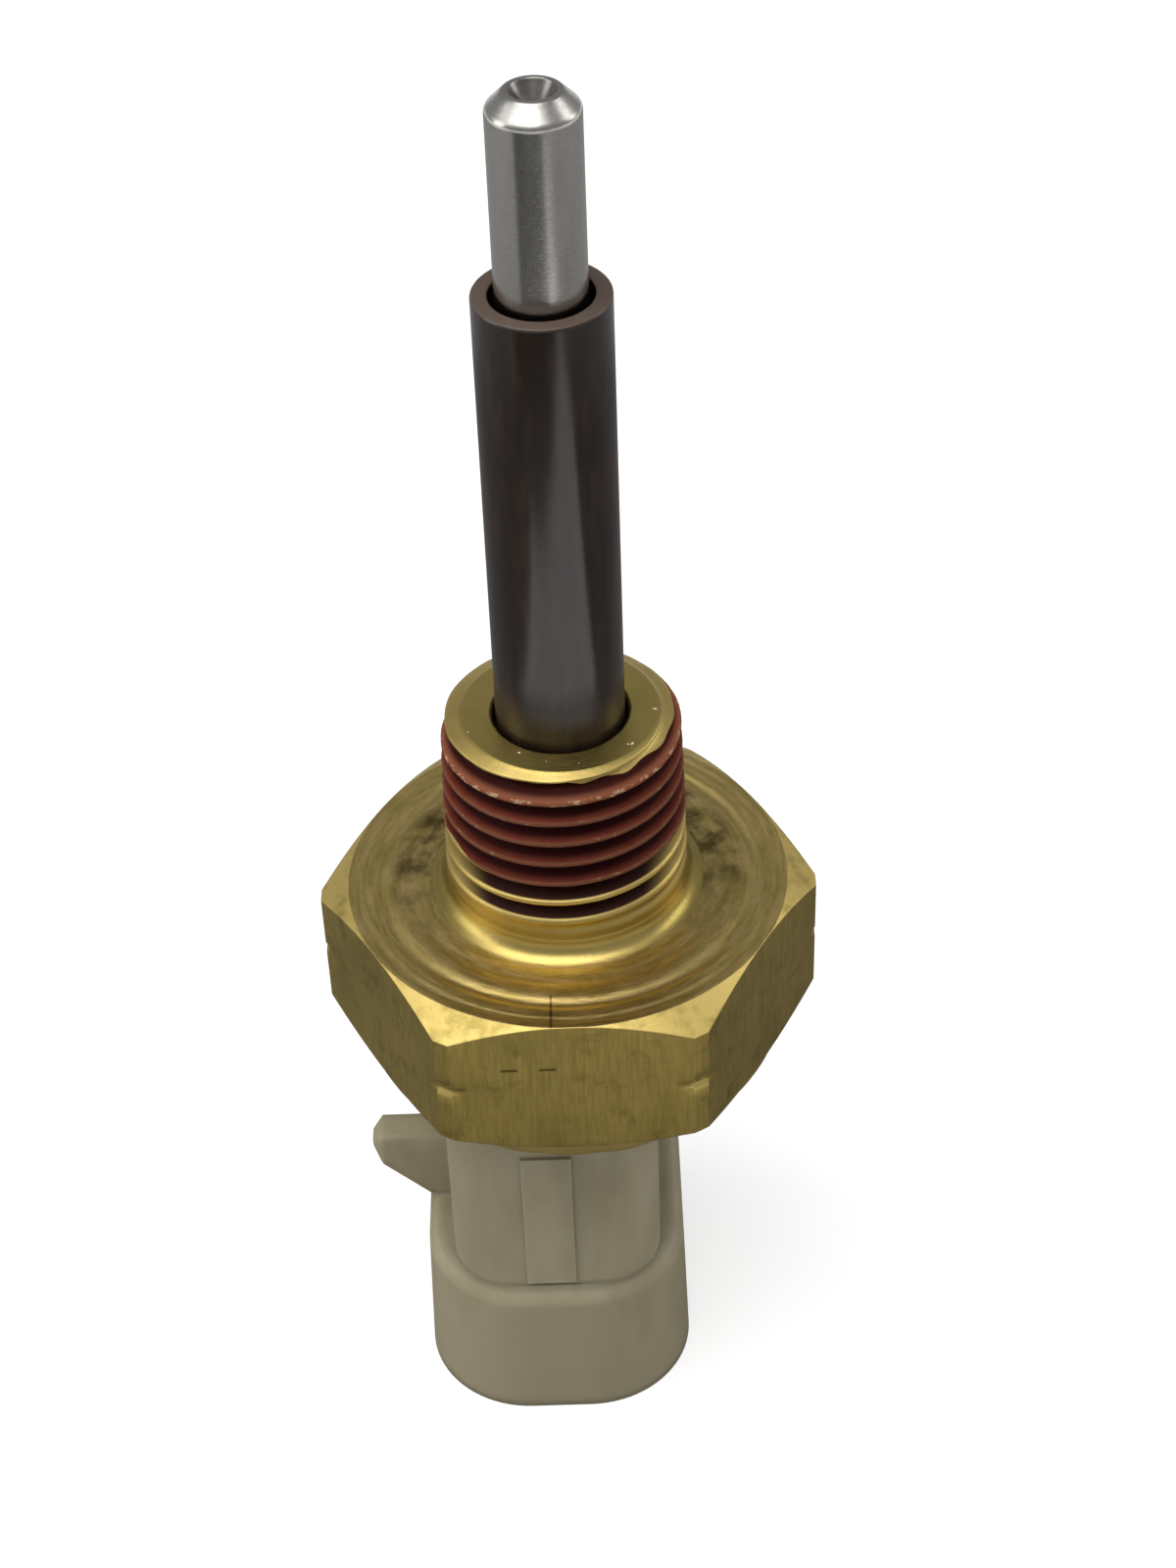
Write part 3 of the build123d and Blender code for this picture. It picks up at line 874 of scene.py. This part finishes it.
@dataclass
class ThreadedBody:
    """The brass body with its tapered thread, and the sealant on it."""

    flat_radius: float = FLAT_RADIUS
    corner_radius: float = 14.4
    hex_bottom: float = 26.75
    hex_top: float = HEX_TOP
    top_chamfer: float = math.radians(33.6)
    bottom_chamfer: float = math.radians(25.0)
    nick_height: float = 31.4
    nick_half: float = 0.4
    nick_depth: float = 0.28
    lip_bottom: float = 25.5
    lip_radius: float = 12.35
    lip_inner: float = 10.714
    lip_rounding: float = 0.3
    crimp_depth: float = 0.07
    neck_fillet: float = 1.15
    face_height: float = END_FACE
    end_radius: float = END_RADIUS
    taper: float = TAPER
    face_radius: float = 5.45
    bevel_height: float = 0.5
    bore_radius: float = 3.81
    bore_chamfer: float = 0.12
    seal_top: float = 36.04
    seal_radius: float = 5.03
    stack_top: float = 34.6
    stack_radius: float = 6.5
    socket_top: float = 29.6
    socket_radius: float = 11.75
    socket_bottom: float = 26.6
    pitch: float = 25.4 / 18
    thread_depth: float = 1.0
    crest_half: float = 0.09
    root_half: float = 0.07
    flank_bow: float = 0.04
    front_crest: float = 47.095
    runout_low: float = 37.75
    runout_high: float = 39.7
    steps_per_pitch: int = 24
    flat_steps: int = 30
    strip_steps: int = 4
    ring_step: float = 0.1
    tool_marks: tuple[tuple[float, float, float], ...] = (
        (9.1, 0.38, 0.05),
        (10.8, 0.42, 0.15),
        (11.55, 0.15, 0.03),
        (12.05, 0.25, 0.06),
    )
    sealant_top: float = 47.75
    sealant_bottom: float = 41.25
    sealant_margin: float = 0.3
    sealant_feather: float = 0.18
    top_rag: float = 0.12
    bottom_rag: float = 0.1
    edge_dip: float = 0.1
    sealant_root: float = 0.12
    crest_film: float = 0.045
    groove_fill: float = 0.2

    def turns(self) -> tuple[np.ndarray, list[int]]:
        """Angles of the columns, close together at the corner strips.

        Returns:
            The angles, and the columns on the edges of the flats.
        """
        edge = math.acos(self.flat_radius / self.corner_radius)
        sixth = math.pi / 3
        strip = sixth - 2 * edge
        angles: list[float] = []
        edges: list[int] = []
        for side in range(6):
            middle = sixth * side + sixth / 2
            edges.append(len(angles))
            start = middle - edge
            angles += [start + 2 * edge * k / self.flat_steps for k in range(self.flat_steps)]
            edges.append(len(angles))
            start = middle + edge
            angles += [start + strip * k / self.strip_steps for k in range(self.strip_steps)]
        return np.array(angles), edges

    def hexagon(self, turns: np.ndarray) -> np.ndarray:
        """Radius of the hexagon at each angle, its corners turned off."""
        away = np.mod(turns, math.pi / 3) - math.pi / 6
        return np.minimum(self.flat_radius / np.cos(away), self.corner_radius)

    def cone(self, height: Measure) -> Measure:
        """Radius of the cone over the thread crests."""
        return self.end_radius + (self.face_height - height) * self.taper

    def thread(self, turns: np.ndarray, height: float) -> np.ndarray:
        """Radius of the threaded shank at one height.

        Args:
            turns: the angles.
            height: the height.

        Returns:
            One radius for each angle.
        """
        lead = self.pitch * (turns + math.pi / 2) / (2 * math.pi)
        phase = np.mod((height - self.front_crest - lead) / self.pitch, 1.0)
        away = np.minimum(phase, 1 - phase) * self.pitch
        flank = self.pitch / 2 - self.crest_half - self.root_half
        depth = np.clip((away - self.crest_half) / flank, 0, 1)
        depth = depth - self.flank_bow * np.sin(2 * math.pi * depth)
        fade = np.clip((height - self.runout_low) / (self.runout_high - self.runout_low), 0, 1)
        fade = fade * fade * (3 - 2 * fade)
        radius = self.cone(height) - self.thread_depth * fade * depth
        slope = (self.cone(self.face_height) - self.face_radius) / self.bevel_height
        bevel = self.face_radius + (self.face_height - height) * slope
        return np.minimum(radius, bevel)

    def body(self) -> bpy.types.Object:
        """The brass body as one closed mesh.

        Returns:
            The object.
        """
        turns, edges = self.turns()
        rho = self.hexagon(turns)
        skin = Skin("body_shell")

        def at(radius: Measure, height: Measure, crease: bool = False) -> None:
            """Adds a ring round the axis."""
            skin.ring(circle(radius, height, turns), crease)

        crimp = self.lip_bottom + self.crimp_depth * ripple(turns, seed=5, waves=9, low=3, high=26)
        for angle in np.linspace(0, math.pi / 2, 5):
            turn_in = self.lip_rounding * (1 - math.sin(angle))
            at(self.lip_radius - turn_in, crimp + self.lip_rounding * (1 - math.cos(angle)))
        at(self.lip_radius, self.hex_bottom, True)
        at(self.flat_radius, self.hex_bottom, True)
        low = self.hex_bottom + (rho - self.flat_radius) * math.tan(self.bottom_chamfer)
        first_upright = len(skin.rings)
        at(rho, low, True)
        nick_low = self.nick_height - self.nick_half
        nick_high = self.nick_height + self.nick_half
        for share in np.linspace(0.2, 0.8, 4):
            at(rho, low + (nick_low - low) * share)
        at(rho, nick_low)
        for share, side in ((0.5, nick_low), (1.0, self.nick_height), (0.5, nick_high)):
            nick = np.minimum(rho, self.corner_radius - self.nick_depth * share)
            at(nick, self.nick_height + (side - self.nick_height) * (1 - share))
        at(rho, nick_high)
        high = self.hex_top - (rho - self.flat_radius) * math.tan(self.top_chamfer)
        for share in np.linspace(0.2, 0.8, 4):
            at(rho, nick_high + (high - nick_high) * share)
        at(rho, high, True)
        last_upright = len(skin.rings)
        at(self.flat_radius, self.hex_top, True)
        neck = self.cone(self.hex_top)
        gap = self.ring_step
        for radius in np.arange(self.flat_radius - gap, neck + self.neck_fillet, -gap):
            at(radius, self.hex_top - self.tool_mark(radius))
        for angle in np.linspace(0, math.pi / 2, 13):
            inward = neck + self.neck_fillet * (1 - math.sin(angle))
            at(inward, self.hex_top + self.neck_fillet * (1 - math.cos(angle)))
        start = self.hex_top + self.neck_fillet
        count = int((self.face_height - start) / self.pitch * self.steps_per_pitch)
        for step in range(1, count):
            height = start + (self.face_height - start) * step / count
            at(self.thread(turns, height), height)
        at(self.face_radius, self.face_height, True)
        for radius, height in (
            (self.bore_radius + self.bore_chamfer, self.face_height),
            (self.bore_radius, self.face_height - self.bore_chamfer),
            (self.bore_radius, self.seal_top),
            (self.seal_radius, self.seal_top),
            (self.seal_radius, self.stack_top),
            (self.stack_radius, self.stack_top),
            (self.stack_radius, self.socket_top),
            (self.socket_radius, self.socket_top),
            (self.socket_radius, self.socket_bottom),
            (self.lip_inner, self.socket_bottom),
        ):
            at(radius, height, True)
        at(self.lip_inner, crimp, True)
        return skin.build(edges, range(first_upright, last_upright))

    def tool_mark(self, radius: float) -> float:
        """Depth of the shallow rings that the facing tool left."""
        return sum(
            deep * math.exp(-(((radius - middle) / wide) ** 2))
            for middle, wide, deep in self.tool_marks
        )

    def sealant(self) -> bpy.types.Object:
        """The sealant as a film with ragged ends, thin on the crests.

        Returns:
            The object.
        """
        turns, _ = self.turns()
        skin = Skin("sealant_film")
        rag = ripple(turns, seed=11, waves=7, low=2, high=14)
        top = self.sealant_top + self.top_rag * rag
        rag = ripple(turns, seed=12, waves=7, low=2, high=14)
        bottom = self.sealant_bottom + self.bottom_rag * rag
        margin, root = self.sealant_margin, self.sealant_root
        span = self.sealant_top - self.sealant_bottom + 2 * margin
        count = int(span / self.pitch * self.steps_per_pitch)
        heights = np.linspace(self.sealant_top + margin, self.sealant_bottom - margin, count)
        under = [self.thread(turns, float(height)) - root for height in heights]
        for radius, height in zip(under, heights):
            skin.ring(circle(radius, height, turns))
        for radius, height in zip(reversed(under), reversed(heights)):
            edge = np.minimum(top - height, height - bottom)
            cover = np.clip(edge / self.sealant_feather, -1, 1)
            lump = 0.35 * ripple(turns, seed=int(height * 8), waves=6, low=5, high=40)
            depth = np.clip((self.cone(height) - radius - root) / self.thread_depth, 0, 1)
            thick = (self.crest_film + self.groove_fill * depth**2) * (1 + 0.25 * lump)
            lift = np.where(cover > 0, thick * cover, self.edge_dip * cover)
            skin.ring(circle(radius + root + lift, height, turns))
        return skin.build()

    def make(self, brass: bpy.types.Material, sealant: bpy.types.Material) -> None:
        """Builds and dresses both pieces.

        Args:
            brass: the body's material.
            sealant: the film's material.
        """
        install(self.body(), brass, "brass_body")
        install(self.sealant(), sealant, "thread_sealant")


@dataclass
class SleevedProbe:
    """The steel probe and its resin sleeve."""

    tip: float = TIP
    rod_radius: float = 2.38
    chamfer: float = 0.92
    hole_radius: float = TIP_HOLE_RADIUS
    hole_half_angle: float = math.radians(30)
    pilot_radius: float = 0.5
    pilot_depth: float = 0.7
    pilot_point: float = 0.15
    axis_gap: float = 0.02
    collar_radius: float = 5.4
    collar_low: float = 31.6
    collar_high: float = 32.8
    bore_radius: float = 1.5
    bore_top: float = 82.0
    sleeve_top: float = 74.8
    sleeve_radius: float = 3.59
    sleeve_bore: float = 2.7
    seal_pocket_radius: float = 3.41
    seal_pocket_depth: float = 1.04
    flange_radius: float = 6.4
    shoulder: float = 35.0

    def rod(self) -> bpy.types.Object:
        """Steel rod: collar, chamfered tip with a centre hole.

        Returns:
            The object.
        """
        cone_depth = (self.hole_radius - self.pilot_radius) / math.tan(self.hole_half_angle)
        pilot_top = self.tip - cone_depth
        pilot_floor = pilot_top - self.pilot_depth
        profile = Profile(
            (
                (self.bore_radius, self.collar_low, 0.0),
                (self.collar_radius, self.collar_low, 0.1),
                (self.collar_radius, self.collar_high, 0.1),
                (self.rod_radius, self.collar_high, 0.0),
                (self.rod_radius, self.tip - self.chamfer, 0.5),
                (self.rod_radius - self.chamfer, self.tip, 0.3),
                (self.hole_radius, self.tip, 0.08),
                (self.pilot_radius, pilot_top, 0.0),
                (self.pilot_radius, pilot_floor, 0.0),
                (self.axis_gap, pilot_floor - self.pilot_point, 0.0),
                (self.axis_gap, self.bore_top, 0.0),
                (self.bore_radius, self.bore_top, 0.0),
            )
        )
        return lathe("probe_rod", profile)

    def sleeve(self) -> bpy.types.Object:
        """Resin sleeve with its flange.

        Returns:
            The object.
        """
        pocket_top = self.collar_high + self.seal_pocket_depth
        profile = Profile(
            (
                (self.seal_pocket_radius, self.collar_high, 0.0),
                (self.flange_radius, self.collar_high, 0.1),
                (self.flange_radius, self.shoulder, 0.1),
                (self.sleeve_radius, self.shoulder, 0.0),
                (self.sleeve_radius, self.sleeve_top, 0.16),
                (self.sleeve_bore, self.sleeve_top, 0.12),
                (self.sleeve_bore, pocket_top, 0.0),
                (self.seal_pocket_radius, pocket_top, 0.0),
            )
        )
        return lathe("sleeve_tube", profile)

    def make(self, steel: bpy.types.Material, resin: bpy.types.Material) -> None:
        """Builds and dresses both pieces.

        Args:
            steel: the rod's material.
            resin: the sleeve's material.
        """
        install(self.rod(), steel, "probe_tube")
        install(self.sleeve(), resin, "probe_sleeve")


def install(piece: bpy.types.Object, material: bpy.types.Material, node: str) -> None:
    """Dresses a new piece, puts it on the part and hides what it stands for.

    Args:
        piece: the new object.
        material: its material.
        node: the node that it replaces.
    """
    piece.data.materials.append(material)
    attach(piece, ROOT)
    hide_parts(node)
    LOG.info("%s stands for %s", piece.name, node)


@dataclass(frozen=True)
class Lamp:
    """Soft area lamp: place and size in metres, power in watts."""

    name: str
    place: tuple[float, float, float]
    size: tuple[float, float]
    watts: float


@dataclass
class Studio:
    """Pale floor, soft lamps and the camera."""

    sensor_mm: float = 36.0
    focal_mm: float = 67.516
    camera_right: float = 2.539
    camera_front: float = -126.926
    camera_height: float = 149.963
    camera_yaw: float = -0.0091655
    camera_pitch: float = 0.700752
    camera_roll: float = 0.0385484
    floor_size: float = 6.0
    floor_lift: float = 0.6
    floor_tones: tuple[Colour, Colour] = ((0.60, 0.60, 0.60), (0.64, 0.64, 0.64))
    surround: Colour = (0.9, 0.92, 0.95)
    surround_strength: float = 0.32
    lamp_target: tuple[float, float, float] = (0.0, 0.0, 0.045)
    lamps: tuple[Lamp, ...] = (
        Lamp("overhead", (-0.1, -0.14, 0.62), (0.6, 0.5), 2.7),
        Lamp("left", (-0.6, -0.05, 0.3), (0.3, 0.5), 1.0),
        Lamp("right", (0.55, 0.12, 0.35), (0.2, 0.4), 0.7),
    )
    flag_height: float = 0.05
    flag_half_width: float = 260.0
    flag_rim: tuple[tuple[float, float], ...] = (
        *((-1.0, 1.0), (-0.5, 1.0), (0.0, 1.0), (0.5, 1.0), (1.0, 1.0)),
        *((1.0, -0.5), (1.0, -1.0), (0.0, -1.0), (-1.0, -1.0)),
    )
    flag_gap: tuple[tuple[float, float], ...] = (
        *((-66.0, -14.0), (-38.0, -52.0), (0.0, -62.0), (40.0, -52.0), (64.0, -22.0)),
        *((74.0, -80.0), (60.0, -114.0), (33.0, -110.0), (-50.0, -79.0)),
    )
    flag_grey: Colour = (0.17, 0.17, 0.17)
    flag_dark: Colour = (0.07, 0.07, 0.065)
    flag_pale: Colour = (0.36, 0.36, 0.36)
    flag_fade: tuple[float, float] = (112.0, 124.0)
    dark_middle: float = -0.25
    dark_half_width: float = 0.57

    def camera(self) -> None:
        """Camera at the photograph's angle."""
        data = bpy.data.cameras.new("camera")
        data.lens = self.focal_mm
        data.sensor_width = self.sensor_mm
        data.sensor_fit = "AUTO"
        data.clip_start = 0.01
        data.clip_end = 20.0
        camera = new_object("camera", data)
        forward = Vector(
            (
                math.sin(self.camera_yaw) * math.cos(self.camera_pitch),
                math.cos(self.camera_yaw) * math.cos(self.camera_pitch),
                -math.sin(self.camera_pitch),
            )
        )
        aim = forward.to_track_quat("-Z", "Y").to_matrix()
        tilt = Matrix.Rotation(-self.camera_roll, 3, "Z")
        camera.matrix_world = Matrix.Translation(
            Vector((self.camera_right, self.camera_front, self.camera_height)) * MM
        ) @ (aim @ tilt).to_4x4()
        bpy.context.scene.camera = camera

    def floor(self) -> None:
        """Plain pale floor."""
        half = self.floor_size / 2
        corners = [(-half, -half, 0), (half, -half, 0), (half, half, 0), (-half, half, 0)]
        mesh = new_mesh("floor", corners, [(0, 1, 2, 3)])
        paint = Palette("floor")
        shade = paint.noise(paint.place(), 0.05, 2.0)
        colour = paint.mix(shade, *self.floor_tones)
        path = paint.node("ShaderNodeLightPath")
        seen = paint.wire(path, "Is Camera Ray").most(paint.wire(path, "Is Glossy Ray"))
        seen = seen.most(paint.wire(path, "Is Transmission Ray"))
        white = paint.mix(seen, (0.0, 0.0, 0.0), (1.0, 1.0, 1.0))
        mesh.materials.append(
            paint.surface(
                Base_Color=colour,
                Roughness=0.9,
                Emission_Color=white,
                Emission_Strength=self.floor_lift,
            )
        )
        new_object("floor", mesh)

    def hang(self, lamp: Lamp) -> None:
        """Hangs one lamp, turned towards the part."""
        data = bpy.data.lights.new(lamp.name, "AREA")
        data.shape = "RECTANGLE"
        data.size, data.size_y = lamp.size
        data.energy = lamp.watts
        fitting = new_object(lamp.name, data)
        fitting.location = lamp.place
        aim = Vector(self.lamp_target) - Vector(lamp.place)
        fitting.rotation_euler = aim.to_track_quat("-Z", "Y").to_euler()

    def flag(self) -> None:
        """Grey card on the floor, seen by reflections only, with a gap left open in front."""
        rim = [(x * self.flag_half_width, y * self.flag_half_width) for x, y in self.flag_rim]
        count = len(self.flag_gap)
        faces = [(k, (k + 1) % count, (k + 1) % count + count, k + count) for k in range(count)]
        points = [(x * MM, y * MM, self.flag_height * MM) for x, y in (*rim, *self.flag_gap)]
        mesh = new_mesh("front_flag", points, faces)
        card = new_object("front_flag", mesh)
        paint = Palette("front_flag")
        x, y, _ = paint.split(paint.place())
        far = paint.axis_distance(x, y).between(*self.flag_fade)
        aside = x.angle_of(y * -1.0)
        grey = paint.mix(far, self.flag_grey, self.flag_pale)
        dark = aside.band(self.dark_middle, self.dark_half_width, 0.05)
        grey = paint.mix(far * dark, grey, self.flag_dark)
        mesh.materials.append(paint.surface(Base_Color=grey, Roughness=1.0))
        card.visible_camera = False
        card.visible_diffuse = False
        card.visible_shadow = False
        card.visible_transmission = False

    def world(self) -> None:
        """Dim, even surround."""
        world = bpy.data.worlds.new("surround")
        world.use_nodes = True
        background = world.node_tree.nodes["Background"]
        background.inputs["Color"].default_value = (*self.surround, 1.0)
        background.inputs["Strength"].default_value = self.surround_strength
        bpy.context.scene.world = world

    def make(self) -> None:
        """Sets the stage."""
        self.camera()
        self.floor()
        self.world()
        for lamp in self.lamps:
            self.hang(lamp)
        self.flag()
        bpy.context.scene.view_settings.view_transform = "Standard"


@dataclass
class Dressing:
    """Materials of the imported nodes."""

    nodes: dict[str, bpy.types.Object]
    record: dict[str, object]

    def make(self, materials: dict[Slot, bpy.types.Material]) -> None:
        """Gives each node the material of its slot.

        Args:
            materials: material by slot.
        """
        for entry in self.record["subparts"]:
            node = self.nodes[entry["node"]]
            node.data.materials.clear()
            slot = Slot(entry["material_slot"])
            node.data.materials.append(materials[slot])
            LOG.info("%s dressed as %s", node.name, slot.value)


def main() -> None:
    """Loads the frame, builds the pieces and the stage."""
    logging.basicConfig(level=logging.INFO, format="%(name)s: %(message)s")
    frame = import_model()
    finishes: list[Finish] = [
        TurnedBrass(),
        ThreadSealant(),
        GroundSteel(),
        ResinSleeve(),
        NaturalNylon(),
        *INNER_FINISHES,
    ]
    materials = {finish.slot: finish.material() for finish in finishes}
    Dressing(frame["nodes"], frame["record"]).make(materials)
    ThreadedBody().make(materials[Slot.BRASS], materials[Slot.SEALANT])
    SleevedProbe().make(materials[Slot.STEEL], materials[Slot.SLEEVE])
    Studio().make()


if __name__ == "__main__":
    main()
